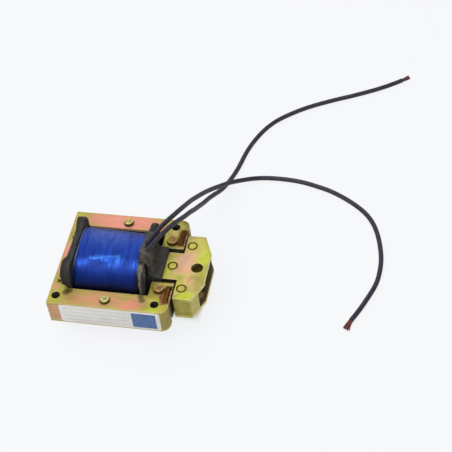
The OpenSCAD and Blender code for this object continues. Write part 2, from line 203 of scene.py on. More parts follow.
class Finish:  # one material, or the world, under construction
    def __init__(self, paint):
        self.paint = paint
        self.paint.use_nodes = True
        self.tree = paint.node_tree
        self.tree.nodes.clear()
        self.parts = {}
        self.tint = None

    def node(self, kind, settings=None, inputs=None, out=0):
        made = self.tree.nodes.new(kind)
        for key, value in (settings or {}).items():
            if key == "stops":
                ramp = made.color_ramp.elements
                for at, shade in value:
                    stop = ramp.new(at) if 0 < at < 1 else ramp[0 if at == 0 else len(ramp) - 1]
                    stop.color = (*shade, 1)
            else:
                setattr(made, key, value)
        for key, value in (inputs or {}).items():
            self.feed(made.inputs[key], value)
        return Wire(self, made.outputs[out])

    def feed(self, socket, value):
        if isinstance(value, Wire):
            self.tree.links.new(value.socket, socket)
        elif socket.type == "RGBA" and len(value) == 3:
            socket.default_value = (*value, 1)
        else:
            socket.default_value = value

    @property
    def spot(self):  # object coordinates
        if "spot" not in self.parts:
            self.parts["spot"] = self.node("ShaderNodeTexCoord", out="Object")
        return self.parts["spot"]

    def axis(self, letter):  # one object coordinate, in mm
        if letter not in self.parts:
            split = self.node("ShaderNodeSeparateXYZ", inputs={0: self.spot}, out=letter.upper())
            self.parts[letter] = split * 1000
        return self.parts[letter]

    def level(self):  # height over or under the middle of the stack, in mm
        return (self.axis("z") - stackMid).size()

    def grain(self, size, detail=3, rough=0.5, stretch=(1, 1, 1), twist=0):  # noise, size in mm
        place = self.node("ShaderNodeMapping", inputs={"Vector": self.spot, "Scale": stretch})
        return self.node("ShaderNodeTexNoise", inputs={
            "Vector": place, "Scale": 1 / (size * mm), "Detail": detail,
            "Roughness": rough, "Distortion": twist})

    def rise(self, value, low, high):  # 0 below low, 1 above high
        return self.node("ShaderNodeMapRange", {"interpolation_type": "SMOOTHSTEP"},
                         {"Value": value, "From Min": low, "From Max": high})

    def fall(self, value, low, high):  # 1 below low, 0 above high
        return 1 - self.rise(value, low, high)

    def within(self, value, start, full, gone, stop):  # 1 from full to gone, 0 before start and after stop
        return self.rise(value, start, full) * self.fall(value, gone, stop)

    def blend(self, share, first, second):  # two colours
        return self.node("ShaderNodeMix", {"data_type": "RGBA"}, {0: share, 6: first, 7: second}, out=2)

    def coat(self, share, colour):  # one more colour over those before
        self.tint = self.blend(share, self.tint, colour)

    def mottled(self, grain, low, high, first, second):  # two colours in patches
        return self.blend(self.rise(grain, low, high), first, second)

    def stain(self, x, y, wide, long, soft=0.1):  # 1 inside an oval patch seen from above, with a wavy outline
        if "wavy" not in self.parts:
            drift = self.node("ShaderNodeTexNoise", inputs={
                "Vector": self.spot, "Scale": 110, "Detail": 2}, out=1)
            self.parts["wavy"] = self.node("ShaderNodeVectorMath", {"operation": "MULTIPLY_ADD"}, {
                0: drift, 1: millimetres(stainDrift, stainDrift, 0), 2: self.spot})
        middle = millimetres(x + stainDrift / 2, y + stainDrift / 2, 0)
        off = self.node("ShaderNodeVectorMath", {"operation": "SUBTRACT"}, {0: self.parts["wavy"], 1: middle})
        off = self.node("ShaderNodeVectorMath", {"operation": "MULTIPLY"}, {
            0: off, 1: (1 / (wide * mm), 1 / (long * mm), 0)})
        far = self.node("ShaderNodeVectorMath", {"operation": "LENGTH"}, {0: off}, out="Value")
        return self.fall(far, soft, 1)

    def stains(self, spots):  # the strongest of several patches
        field = None
        for x, y, wide, long, weight in spots:
            patch = self.stain(x, y, wide, long) * weight
            field = patch if field is None else field.largest(patch)
        return field

    def disc(self, x, y, inner, outer):  # 1 inside a round patch, 0 beyond its outer radius
        off, aside = self.axis("x") - x, self.axis("y") - y
        return self.fall(off * off + aside * aside, inner * inner, outer * outer)

    def bump(self, height, strength, depth=0.05):  # depth in mm
        return self.node("ShaderNodeBump", inputs={"Height": height, "Strength": strength, "Distance": depth * mm})

    def show(self, shader, kind="Material"):
        out = self.tree.nodes.new("ShaderNodeOutput" + kind)
        self.tree.links.new(shader.socket, out.inputs["Surface"])
        return self.paint

    def done(self, rough, relief, metallic=0):
        return self.show(self.node("ShaderNodeBsdfPrincipled", inputs={
            "Base Color": self.tint, "Metallic": metallic, "Roughness": rough, "Normal": relief}))


def newFinish(name):
    return Finish(bpy.data.materials.new(name))


def dress(piece, paint):
    piece.data.materials.clear()
    piece.data.materials.append(paint)


def dressNode(node, paint):  # a CAD solid that stays keeps its mesh and gets a better finish
    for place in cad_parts[node].material_slots:
        place.material = paint


def mount(piece, body, node):
    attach(piece, body)
    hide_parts(node)


# camera, at the picture's own angle

cameraView = {
    "place": (0.16962, -0.39891, 0.52630),
    "right": (0.97793974, 0.18866332, -0.08966613),
    "up": (-0.08338005, 0.74614048, 0.66054686),
    "back": (0.19152449, -0.63849866, 0.74541118),
    "lens": 105.37,
    "sensor": 36,
}


def placeCamera():
    bpy.ops.object.camera_add()
    eye = nameActive("studioCamera")
    columns = [cameraView[k] for k in ("right", "up", "back", "place")]
    eye.matrix_world = Matrix([[c[row] for c in columns] for row in range(3)] + [[0, 0, 0, 1]])
    eye.data.sensor_width = cameraView["sensor"]
    eye.data.lens = cameraView["lens"]
    eye.data.clip_start = 0.01
    eye.data.clip_end = 30
    bpy.context.scene.camera = eye


placeCamera()
print("camera placed")

# leads: two limp insulated wires with bare ends

leadLook = {
    "thick": 2.5,
    "exitX": 7.6,
    "exitRise": 39.7,
    "length": {"leadA": 0.234, "leadB": 0.250},  # metres, end to end
    "strands": 36,
    "strandThick": 0.42,
    "hidden": 1.5,  # how far the strands start inside the insulation
    "twist": 1.5,
    "shares": (0.25, 0.62, 1),  # strands lie in three rings
    "wide": 0.75,  # bundle's radius where the insulation ends
    "sag": 0.4,
    "ends": {  # node, then the strands' reach, spread, swerve to a side and seed
        "leadA": ("lead_a", 5.0, 1.3, -0.7, 3),
        "leadB": ("lead_b", 5.7, 1.75, -0.8, 8),
    },
}
leadRoutes = {  # x from the exit and y in mm, height in hundredths of the exit's rise
    "leadA": [
        (0.5, -5.5, 100), (2, -2.5, 100), (4.5, 3.5, 100), (7.5, 9.5, 100), (10, 15.5, 97),
        (12, 21.5, 90), (13.5, 27, 82), (14.5, 33, 74), (15.5, 38, 65), (16, 43.5, 56),
        (17, 49, 47), (17.5, 55, 38), (18.5, 60.5, 30), (19.5, 66, 21), (21, 71.5, 13),
        (22, 77.5, 6), (23.5, 84, 2), (25, 90, 0), (26.5, 96.5, 0), (27.5, 103, 0),
        (29, 109.5, 0), (31, 115.5, 0), (33.5, 121.5, 0), (36.5, 127, 0), (40.5, 132.5, 0),
        (45.5, 137, 0), (50.5, 141, 0), (55.5, 144.5, 0), (61.5, 148, 0), (67.5, 151, 0),
        (73.5, 154, 0), (79.5, 156.5, 0), (85.5, 159.5, 0), (91.5, 162.5, 0), (97, 165.5, 0),
        (102.5, 169, 0), (108, 173, 0)],
    "leadB": [
        (-0.5, -1, 100), (2, 5, 100), (4.5, 11.5, 100), (7, 17.5, 98), (9, 24, 92),
        (10.5, 30, 86), (12, 36, 79), (13, 42, 71), (14.5, 47.5, 63), (16, 53, 55),
        (17.5, 58.5, 46), (19.5, 64, 37), (22, 69.5, 28), (25, 75, 20), (28.5, 79.5, 12),
        (33, 84, 5), (38.5, 87, 1), (45, 88, 0), (51.5, 88, 0), (58, 87.5, 0),
        (64.5, 86.5, 0), (71, 84.5, 0), (77.5, 82.5, 0), (83.5, 79.5, 0), (89.5, 76, 0),
        (95, 72, 0), (100, 67.5, 0), (104, 62, 0), (107, 55.5, 0), (109, 49, 0),
        (110.5, 42.5, 0), (111.5, 36, 0), (111.5, 29, 0), (111, 22, 0), (109, 15.5, 0),
        (106.5, 9, 0), (104, 2.5, 0), (101, -3.5, 0)],
}


def leadPlaces(route):
    rise = leadLook["exitRise"]
    return [Vector(millimetres(leadLook["exitX"] + x, y, leadLook["thick"] / 2 + z / 100 * rise))
            for x, y, z in route]


def addPath(name, places, thick, steps, facets):
    deselect()
    bpy.ops.curve.primitive_nurbs_path_add(location=(0, 0, 0))
    piece = nameActive(name)
    line = piece.data.splines[0]
    line.points.add(len(places) - len(line.points))
    for point, place in zip(line.points, places):
        point.co = (*place, 1)
    line.order_u = 4
    line.use_endpoint_u = True
    piece.data.resolution_u = steps
    piece.data.bevel_depth = thick / 2 * mm
    piece.data.bevel_resolution = facets
    piece.data.use_fill_caps = True
    return piece


def lineOf(curve):  # places close together along a curve
    soloSelect(curve)
    bpy.ops.object.duplicate()
    line = bpy.context.object
    line.data.bevel_depth = 0
    bpy.ops.object.convert(target="MESH")
    places = [tuple(vert.co) for vert in line.data.vertices]
    bpy.data.objects.remove(line)
    return places


def addStrands(name, places, length, spread, swerve, seed):  # bared copper strands, twisted and fanned out
    draw = random.Random(seed)
    tip = places[-1]
    ahead = (places[-1] - places[-2]).normalized()
    side = ahead.cross(Vector((0, 0, 1))).normalized()
    above = side.cross(ahead)
    made = []
    count, hidden, neck = leadLook["strands"], leadLook["hidden"], leadLook["wide"]
    for k in range(count):
        share = leadLook["shares"][k % 3]
        start = 2 * math.pi * k / count
        reach = length * draw.uniform(0.84, 1.04)
        bend = draw.uniform(-0.35, 0.35)
        strand = []
        for step in range(6):
            t = step / 5
            turn = start + leadLook["twist"] * t + bend * t * t
            wide = share * (neck + (spread - neck) * t * draw.uniform(0.85, 1.05))
            flat = 0.55 if t > 0.2 else 0.8  # the fan is wider than it is tall
            off = side * (wide * math.cos(turn) + swerve * t * t)
            off += above * (wide * flat * math.sin(turn) - leadLook["sag"] * t)
            place = tip + (ahead * ((reach + hidden) * t - hidden) + off) * mm
            place.z = max(place.z, leadLook["strandThick"] / 2 * mm)
            strand.append(place)
        addPath(f"{name}{k}", strand, leadLook["strandThick"], 4, 1)
        bpy.ops.object.convert(target="MESH")
        made.append(bpy.context.object)
    return joinPieces(name, made)


leadPieces = {}
for leadName, (node, *end) in leadLook["ends"].items():
    places = leadPlaces(leadRoutes[leadName])
    lead = addPath(leadName, places, leadLook["thick"], 6, 6)
    line = lineOf(lead)
    soloSelect(lead)
    bpy.ops.object.convert(target="MESH")
    strands = addStrands(leadName + "Strands", places, *end)
    leadPieces[leadName] = (lead, strands)
    mount(lead, "frame", node)
    mount(strands, "frame", node + "_strands")
    run = sum(math.dist(a, b) for a, b in zip(line, line[1:]))
    print(leadName, "runs", round(run, 4), "m")
print("leads laid")

# pale studio: a white sweep, a broad lamp overhead and a pale card behind

studioLook = {
    "paper": (0.955, 0.964, 0.982),
    "floor": (0.86, 0.87, 0.885),
    "floorSize": 12,
    "ambient": 0.36,
    "shadowShare": 0.12,
    "aim": (0, 0, 0.025),
    "lamps": [  # name, place, size and radiance
        ("overheadLamp", (-0.19, -0.27, 0.97), 0.95, 2.85),
        ("backCard", (-0.20, 0.85, 0.75), 0.9, 1.0),
    ],
}


def buildStudio():
    deselect()
    bpy.ops.mesh.primitive_plane_add(size=studioLook["floorSize"], location=(0, 0, -0.0003))
    settle()
    floor = nameActive("studioFloor")
    sweep = newFinish("paleSweep")
    lit = sweep.node("ShaderNodeBsdfDiffuse", inputs={"Color": studioLook["floor"]})
    plain = sweep.node("ShaderNodeEmission", inputs={"Color": studioLook["paper"], "Strength": 1.0})
    rays = [sweep.node("ShaderNodeLightPath", out=key)
            for key in ("Is Camera Ray", "Is Glossy Ray", "Is Transmission Ray")]
    under = sweep.fall(sweep.axis("x").size(), 30, 34) * sweep.within(sweep.axis("y"), -14, -4, 18, 26)
    share = rays[0].largest(rays[1]).largest(rays[2]) * (1 - studioLook["shadowShare"])
    share = share * (1 - under)  # the floor under the part stays in full shadow
    both = sweep.node("ShaderNodeMixShader", inputs={0: share, 1: lit, 2: plain})
    dress(floor, sweep.show(both))

    room = Finish(bpy.data.worlds.new("paleRoom"))
    bpy.context.scene.world = room.paint
    room.show(room.node("ShaderNodeBackground", inputs={
        "Color": (1, 1, 1), "Strength": studioLook["ambient"]}), "World")

    for name, place, size, radiance in studioLook["lamps"]:
        bpy.ops.object.light_add(type="AREA", location=place)
        lamp = nameActive(name)
        lamp.data.shape = "DISK"
        lamp.data.size = size
        lamp.data.energy = radiance * math.pi * math.pi * size * size / 4
        lamp.rotation_euler = (Vector(place) - Vector(studioLook["aim"])).to_track_quat("Z", "Y").to_euler()
    bpy.context.scene.view_settings.view_transform = "Standard"


buildStudio()
print("studio lit")

# finishes: each takes a new material and its colours

dullStraw, paleStraw, palePink = (0.32, 0.27, 0.055), (0.96, 0.86, 0.26), (1.0, 0.66, 0.38)
noseStraw = (0.84, 0.76, 0.28)


def windowLip(f, *band):  # 1 on the window's far lip, painted dark as the shade in the gap between the coil and the leg
    return f.within(f.axis("y"), *band) * f.fall((f.axis("x") + 10.8).size(), 17.2, 18)


def noseSides(f):  # the nose's slanted sides are paler
    return f.rise(f.axis("x"), noseX, noseX + 1) * 0.75


def frameInside(f):  # 1 on the walls of the window, the mouth and the screw holes, painted dark as the shade in these gaps
    x, y = f.axis("x"), f.axis("y").size()
    fromMid = (x - screwMidX).size()
    window = f.fall(y, 20.1, 20.4) * f.fall(fromMid, 20.7, 21.0)
    mouth = f.fall(y, 11.1, 11.4) * f.rise(x, 11, 11.6)
    face = f.rise(x, 22.9, 23.0) * f.fall(y, 23.6, 24)
    across, along = fromMid - screwHalf, y - screwHalf
    hole = f.fall(across * across + along * along, 2.2 ** 2, 2.4 ** 2)
    walls = f.fall(f.level(), 7.05, 7.2) * window.largest(mouth).largest(face).largest(hole)
    return walls.largest(windowLip(f, 19.7, 19.9, 21.0, 21.5) * 0.9)


def plungerInside(f):  # 1 on the walls of the stem, the pin hole and the link slot, painted dark as the shade in these gaps and hollows
    x, y, level = f.axis("x"), f.axis("y").size(), f.level()
    stem = f.fall(y, 8.6, 8.8) * f.fall(x, 23.6, 23.9)
    shoulder = f.fall(x, 23.98, 24.1)
    hole = f.disc(pinX, 0, 3.05, 3.2)
    slot = f.fall(level, 5.1, 5.3) * f.rise(x, 26.1, 26.3) * f.fall(y, 14.25, 14.35)
    return (stem.largest(shoulder).largest(hole) * f.fall(level, 7.05, 7.2)).largest(slot)


framePlateLook = {  # yellow passivated zinc
    "stops": [  # from lime over straw to pink
        (0.0, (0.60, 0.68, 0.05)), (0.16, (0.58, 0.55, 0.05)), (0.34, (0.57, 0.47, 0.10)),
        (0.50, (0.69, 0.43, 0.15)), (0.66, (0.85, 0.38, 0.20)), (0.84, (0.98, 0.35, 0.25)),
        (1.0, (0.98, 0.42, 0.33))],
    "warm": [  # x, y, half width, half length and weight of each stain
        (-11, 25.5, 31, 9, 0.56), (8, 24.5, 7, 6, 0.35), (-34, 2, 5, 13, 0.45), (-36.4, -6, 3, 6, 0.35),
        (-35.4, -19.4, 3, 2.6, 0.3), (-9, -25.2, 28, 7.5, 0.26), (4, -25.8, 12, 6, 0.40),
        (-19, -25.5, 9, 6, 0.30)],
    "lime": [
        (-34, 29, 7, 4, 0.30), (-35, -27, 7, 6, 0.22), (-31, -19, 5, 5, 0.2), (16, 27.5, 7, 5, 0.26),
        (16.2, -26.5, 7.5, 6.5, 0.42), (14, 13.5, 5, 5, 0.36), (13.5, -13.5, 4.5, 5, 0.3),
        (17.5, -21.5, 4.5, 4, 0.34), (21.5, 26, 3, 3, 0.12)],
    "tones": [
        (-12, 25, 27, 8.5, 0.6, (1.0, 0.39, 0.30)), (-35, 15, 3, 5, 0.6, dullStraw),
        # paleStraw at (21.4, 26) and (17.4, 21) is painted light on the back corner, against the leads' shadow
        (13.6, -12.5, 3, 3, 0.4, dullStraw), (21.4, 26, 3.6, 3.6, 0.9, paleStraw),
        (17.4, 21, 3, 3, 0.5, paleStraw), (13.8, 14.6, 3.4, 5, 0.85, (0.88, 0.92, 0.06)),
        (-35.5, 6.4, 3, 6.5, 0.7, (1.0, 0.46, 0.37)), (-36, -8, 2.6, 6, 0.5, (0.86, 0.50, 0.36))],
    "brown": [
        (20.4, 17.2, 3.0, 6.2, 1.1), (18.9, 14.4, 2.0, 2.2, 0.8), (20.2, -18.2, 3.6, 7.6, 1.15),
        (18.6, -14.6, 2.6, 3.0, 0.8), (21.5, -23.6, 3, 2, 0.9)],
    "grime": [  # painted shadows at the flanges' feet and round the rivets: x, y, inner and outer radius
        (-27.9, -21.2, 0.3, 2.6), (-29.3, -22.6, 0.1, 2.6), (8.4, -21.2, 0.2, 2.0), (9.6, -23.2, 0.1, 2.2),
        (-34.6, -16.4, 0.4, 1.2), (16.4, 15.2, 2.6, 3.5), (16.4, -15.8, 2.6, 3.5), (-8.7, 25.0, 2.2, 3.0),
        (-8.7, -25.6, 2.2, 3.0)],
    "inside": frameInside,
}
plungerPlateLook = {
    "stops": [
        (0.0, (0.62, 0.72, 0.04)), (0.10, (0.71, 0.76, 0.07)), (0.36, (0.70, 0.60, 0.15)),
        (0.54, (0.86, 0.64, 0.23)), (0.70, (0.94, 0.53, 0.27)), (0.86, (0.98, 0.50, 0.32)),
        (1.0, (0.98, 0.56, 0.40))],
    "warm": [
        (26.8, 2, 9.5, 11, 0.52), (30.6, -7.6, 6, 6, 0.28), (32.5, -10.5, 4, 4, 0.20),
        (24.2, -17, 3, 3, 0.26), (22.5, 3, 4, 4, 0.2)],
    "lime": [
        (35.6, 7.5, 6.5, 10, 0.38), (30.5, -17.8, 8, 5.5, 0.42), (24.5, -11, 5, 6, 0.18),
        (35.5, -5, 5, 5, 0.2), (32, 16, 6, 5, 0.12), (18, -3.5, 4.5, 6, 0.14)],
    "tones": [
        (26.5, 4, 6, 9, 0.5, palePink), (31.5, 9, 5, 5, 0.3, palePink), (35.2, -6.5, 4.6, 5.6, 0.7, dullStraw),
        (29.5, -12.6, 3.4, 3.4, 0.5, dullStraw), (25, -8, 3.4, 4.2, 0.4, dullStraw),
        (25.4, -18, 3, 3, 0.5, dullStraw), (36.6, -0.5, 3, 4, 0.4, dullStraw),
        (33.5, -11.5, 3.5, 3.5, 0.35, dullStraw), (23.4, 2.8, 3, 3.2, 0.8, palePink),
        (27.6, 8.4, 3.2, 3.6, 0.7, palePink), (22.4, -3.8, 2.4, 2.6, 0.5, palePink),
        (31.4, -5.4, 2.4, 2.4, 0.5, dullStraw), (35.2, -13.6, 2.4, 2.4, 0.4, dullStraw),
        (25.6, 5, 3.4, 6, 0.7, (1.0, 0.61, 0.42)), (30.4, -6.6, 3.2, 4, 0.6, (0.70, 0.36, 0.20))],
    "brown": [],
    "grime": [],
    "inside": plungerInside,
    "slotLight": (33.4, -7.2, 2.6, 4.0),
}
platingLook = {  # colours of both plates
    "burnt": ((0.34, 0.15, 0.02), (0.16, 0.05, 0.02)),
    "grime": (0.065, 0.045, 0.014),
    "speck": (0.22, 0.16, 0.05),
    "sides": ((0.42, 0.37, 0.06), (0.55, 0.48, 0.11)),
    "inside": (0.055, 0.040, 0.014),
    "holeWall": ((0.09, 0.07, 0.004), (0.17, 0.12, 0.01)),
    "slotFloor": (0.17, 0.12, 0.045),
    "slotBack": ((0.62, 0.46, 0.03), (0.95, 0.74, 0.06)),
    "slotFront": (0.95, 0.58, 0.24),
}


def chromateFinish(f, look):
    colours = platingLook
    field = 0.36 + (f.grain(6, 4) - 0.5) * 0.42 + (f.grain(1.5, 4, 0.6) - 0.5) * 0.3
    field = field + f.stains(look["warm"]) - f.stains(look["lime"])
    f.tint = f.node("ShaderNodeValToRGB", {"stops": look["stops"]}, {"Fac": field})
    for x, y, wide, long, share, tone in look["tones"]:
        f.coat(f.stain(x, y, wide, long) * share, tone)
    if look["brown"]:
        brown = f.rise(f.stains(look["brown"]) + (f.grain(1.2, 4, 0.6) - 0.5) * 0.5, 0.1, 0.7)
        f.coat(brown, f.mottled(f.grain(0.9, 4), 0.4, 0.6, *colours["burnt"]))
    # painted shadows under the flanges' feet and round the rivets
    for x, y, inner, outer in look["grime"]:
        grime = f.disc(x, y, inner, outer) * (0.7 + 0.6 * f.grain(0.9, 4, 0.6))
        f.coat(grime * 0.8, colours["grime"])
    speck = f.rise(f.grain(0.5, 5, 0.6), 0.32, 0.7)
    f.coat(0.28 * (1 - speck), colours["speck"])
    side = f.fall(f.level(), 6.95, 7.15)
    f.coat(side * 0.8, f.blend(f.grain(3, 3), *colours["sides"]))
    f.coat(side * noseSides(f), noseStraw)
    # painted shade on the walls of the gaps and holes
    f.coat(look["inside"](f), colours["inside"])
    if "slotLight" in look:  # light falls down the pin hole and on the slot's floor
        z = f.axis("z")
        wall = f.disc(pinX, 0, 3.05, 3.2) * f.within(z, 24.6, 24.8, 26.7, 26.9)
        f.coat(wall, f.blend(f.grain(1.2, 3), *colours["holeWall"]))
        low = f.within(z, 14.3, 14.5, 15, 15.5)
        f.coat(low * 0.8, colours["slotFloor"])
        f.coat(f.disc(28.6, 10.4, 2.5, 5) * low, f.blend(f.grain(1.5, 3), *colours["slotBack"]))
        f.coat(f.stain(*look["slotLight"]) * low, colours["slotFront"])
    brush = f.grain(0.35, 2, 0.5, (1, 6, 6))
    return f.done(0.34 + 0.16 * f.grain(1.6, 4) + 0.06 * brush, f.bump(speck + 0.6 * brush, 0.14), 0.35)


edgeWearAndHighlightLook = {
    "rubbed": ((0.62, 0.56, 0.20), (0.94, 0.88, 0.62)),
    "ring": (0.13, 0.09, 0.008),
    "slot": (0.10, 0.08, 0.02),
    "lip": (0.03, 0.022, 0.008),
    "copper": (0.17, 0.07, 0.02),
}


def wornFinish(f, look):  # rubbed edges of the plates, paler partly from wear and partly as a painted highlight
    f.tint = f.mottled(f.grain(2.4, 4, 0.6), 0.36, 0.64, *look["rubbed"])
    for place in plungerRivetPlaces:  # the plate's edge round each flush rivet is painted dark
        f.coat(f.disc(*place, 2.75, 3.0), look["ring"])
    under = f.fall(f.level(), 5.6, 6.2)  # edges inside the slot are painted dark as shade
    f.coat(under * 0.9, look["slot"])
    # painted shade along the window's far lip
    f.coat(windowLip(f, 19.5, 19.7, 20.6, 20.9), look["lip"])
    pocket = f.within(f.axis("x"), 19.1, 19.3, 23.2, 23.4) * f.within(f.axis("y").size(), 12.2, 12.6, 23.6, 24)
    f.coat(pocket * 0.9, look["copper"])  # brown round the copper rings
    return f.done(0.28 + 0.2 * f.grain(0.8, 3) + 0.4 * under, f.bump(f.grain(0.5, 3), 0.12), 0.4)


edgeLook = {
    "rosy": (0.84, 0.41, 0.27),
    "groove": (0.12, 0.085, 0.03),
    "inside": (0.070, 0.048, 0.017),
    "pocket": (0.10, 0.045, 0.012),
    "strip": ((0.72, 0.56, 0.34), (0.40, 0.24, 0.10)),
}


def edgeFinish(f, low, high, pinkEnd, inside, bareStrip):  # sheet edges under the same plating
    x, y, z = f.axis("x"), f.axis("y").size(), f.axis("z")
    f.tint = f.mottled(f.grain(6, 3, 0.5, (1, 1, 0.5)), 0.35, 0.66, low, high)
    rosy = f.fall(x + (f.grain(5, 3) - 0.5) * 14, pinkEnd, pinkEnd + 7)
    rosy = rosy * (0.3 + 0.6 * f.rise(f.grain(4, 3, 0.5, (1, 1, 0.6)), 0.4, 0.6))
    f.coat(rosy, edgeLook["rosy"])
    f.coat(noseSides(f), noseStraw)
    groove = f.rise(f.grain(0.5, 4, 0.6, (0.25, 0.25, 4)), 0.3, 0.6)
    f.coat(0.40 * (1 - groove), edgeLook["groove"])
    # painted shade on the walls of the gaps and holes
    f.coat(inside(f), edgeLook["inside"])
    if bareStrip:  # bare sheet tops between each copper ring and the pole face
        pocket = f.rise(z, 25.6, 25.7) * f.rise(y, 12.8, 12.9)
        f.coat(f.rise(x, 21.6, 21.7) * pocket, edgeLook["pocket"])
        strip = f.within(x, 22.0, 22.2, 22.65, 22.85) * pocket * f.rise(f.grain(1.2, 4), 0.3, 0.45)
        f.coat(strip, f.mottled(f.grain(1.4, 4), 0.4, 0.6, *edgeLook["strip"]))
    return f.done(0.38 + 0.2 * f.grain(1.2, 3), f.bump(groove, 0.25), 0.35)


def rivetFinish(f, bright, dull, rim):  # heads are bright on top; their sides are painted dark as shade
    f.tint = f.mottled(f.grain(1.1, 4, 0.6), 0.40, 0.58, dull, bright)
    pit = f.rise(f.grain(0.35, 4, 0.6), 0.36, 0.6)
    f.coat(0.35 * (1 - pit), rim)
    top = stackHalf + headTall
    # painted shade down the sides of each head
    f.coat(f.fall(f.level(), top - 0.50, top - 0.12), rim)
    return f.done(0.30 + 0.2 * f.grain(0.8, 3), f.bump(pit, 0.3), 0.45)


flushLook = {
    "tops": ((0.60, 0.54, 0.07), (0.82, 0.77, 0.17)),
    "front": (0.42, 0.34, 0.05),
    "back": (0.60, 0.40, 0.06),
    "groove": ((0.11, 0.075, 0.004), (0.20, 0.14, 0.01)),
}


def flushRivetFinish(f, look):
    f.tint = f.mottled(f.grain(1.0, 4), 0.38, 0.62, *look["tops"])
    back, front = plungerRivetPlaces[:2]  # the two in the shoulders are duller than the rest
    f.coat(f.disc(*front, 1, 2.6) * 0.6, look["front"])
    f.coat(f.disc(*back, 1, 2.6) * 0.35, look["back"])
    sunk = f.fall(f.level(), stackHalf - 0.16, stackHalf - 0.03)  # the ring groove is painted dark
    f.coat(sunk, f.blend(f.grain(1.5, 3), *look["groove"]))
    return f.done(0.30 + 0.2 * f.grain(0.8, 3), f.bump(f.grain(0.4, 3), 0.15), 0.4)


def copperFinish(f, bright, dull, dark, metallic=0.6, varnish=None):
    f.tint = f.mottled(f.grain(1.4, 4, 0.6), 0.36, 0.66, dull, bright)
    f.coat(f.rise(f.grain(0.7, 5, 0.65), 0.47, 0.70) * 0.75, dark)
    if varnish:  # over both ends of the winding
        f.coat(f.rise((f.axis("x") - coilMidX).size(), 16.0, 16.4), varnish)
    return f.done(0.32 + 0.25 * f.grain(1, 3), f.bump(f.grain(0.4, 4), 0.2), metallic)


fibreLook = {
    "board": ((0.013, 0.015, 0.016), (0.040, 0.043, 0.044)),
    "rubbed": (0.105, 0.100, 0.082),
    "rim": (0.20, 0.18, 0.115),
    "dust": (0.32, 0.30, 0.25),
    "leaf": (0.020, 0.011, 0.007),
}


def fibreFinish(f, look):  # pressed black board, rubbed grey on its edges
    x, y, z = f.axis("x"), f.axis("y"), f.axis("z")
    mottle = f.grain(1.8, 5, 0.6)
    f.tint = f.mottled(mottle, 0.35, 0.7, *look["board"])
    rubbed = f.rise(f.grain(2.6, 4, 0.55, (2.2, 0.5, 0.5)), 0.52, 0.72)
    f.coat(rubbed * 0.4, look["rubbed"])
    aside, above = (-13.3 - y).largest(0), (z - 32.9).largest(0)  # from the middle of the rounded corner
    rim = f.rise(aside * aside + above * above, 6.05 ** 2, 6.25 ** 2) * f.within(x, 6.6, 6.8, 8.9, 9.3)
    rim = rim * f.rise(z, 27, 29) * f.rise(f.grain(1.6, 4, 0.6, (1, 0.5, 0.5)), 0.36, 0.56)
    f.coat(rim * f.rise(0 - y, 10.5, 12) * 0.85, look["rim"])
    dustAndPaintedLight = f.rise(x, 8.3, 8.9) * f.rise(z, 28.5, 32) * f.fall((y + 11.6).size(), 1.8, 4.2)
    dustAndPaintedLight = dustAndPaintedLight * f.rise(f.grain(1.3, 4, 0.6), 0.36, 0.6)
    f.coat(dustAndPaintedLight * 0.9, look["dust"])  # dusty beside the tape, and painted paler against the shade there
    leaf = f.fall(x + (f.grain(1.2, 3) - 0.5) * 0.5, -29.5, -29.2)
    f.coat(leaf * 0.85, look["leaf"])  # the outer leaf of the rear board is brown
    fibres = f.grain(0.35, 4, 0.6, (1, 0.35, 0.35))
    return f.done(0.62 + 0.2 * mottle, f.bump(fibres + mottle, 0.35, 0.09))


clothLook = {
    "dark": ((0.016, 0.015, 0.017), (0.046, 0.043, 0.040)),
    "dusty": ((0.05, 0.048, 0.040), (0.17, 0.165, 0.13)),
    "back": (0.075, 0.070, 0.060),
    "fold": (0.15, 0.14, 0.115),
    "folds": [
        (9.9, 1.2, 1.5, 5, 0.55), (8.6, -5, 1.4, 4.5, 0.45), (12.6, 0.2, 1.4, 0.7, 0.5), (12, 8, 2, 2.5, 0.4),
        (10.6, -4.6, 1.8, 4.2, 0.8), (12.6, 5.2, 2, 2, 0.5)],
}


def clothFinish(f, look):  # black cotton tape, creased and dusty on its folds
    weave, warp = (f.node("ShaderNodeTexWave", {"bands_direction": way}, {
        "Vector": f.spot, "Scale": 1500, "Distortion": twist, "Detail": 2})
        for way, twist in (("Y", 1.2), ("DIAGONAL", 1.0)))
    dust = f.rise(f.grain(2.2, 5, 0.6, (0.7, 1.3, 0.35), 0.3), 0.40, 0.66)
    high = f.rise(f.axis("z"), 30, 37)  # dustier towards the top, and darker down on the neck as painted shade
    dark, pale = f.blend(f.grain(1.2, 4), *look["dark"]), f.blend(f.grain(0.8, 4), *look["dusty"])
    f.tint = f.blend(dust * (0.45 + 0.55 * high), dark, pale)
    f.coat(0.35 * f.rise(f.axis("y"), -5, 6), look["back"])
    f.coat(f.stains(look["folds"]) * (0.6 + 0.6 * dust), look["fold"])  # painted highlights on the folds
    return f.done(0.68 + 0.15 * dust, f.bump(weave + warp, 0.3))


filmLook = {
    "turns": ((0.012, 0.048, 0.35), (0.022, 0.086, 0.56)),
    "haze": (0.115, 0.185, 0.58),
    "patch": (0.012, 0.045, 0.30),
    "glint": (0.055, 0.26, 0.98),
    "thread": (0.007, 0.025, 0.18),
    "side": (0.005, 0.024, 0.20),
    "foot": (0.007, 0.009, 0.03),
    "corner": (0.010, 0.012, 0.035),
    "facing": (0.006, 0.028, 0.19),
    "slack": (0.006, 0.024, 0.14),
    "lip": (0.07, 0.28, 0.90),
    "edge": (0.36, 0.40, 0.55),
    "glints": [
        (-22.8, -9.6, 3.0, 3.6, 0.9), (-14, -6.4, 7.5, 2.4, 0.9), (-5.2, -8.6, 3.0, 4.6, 0.95),
        (3.6, -9.6, 2.2, 4.2, 0.8), (-8, -11.6, 5, 2.0, 0.6)],
}


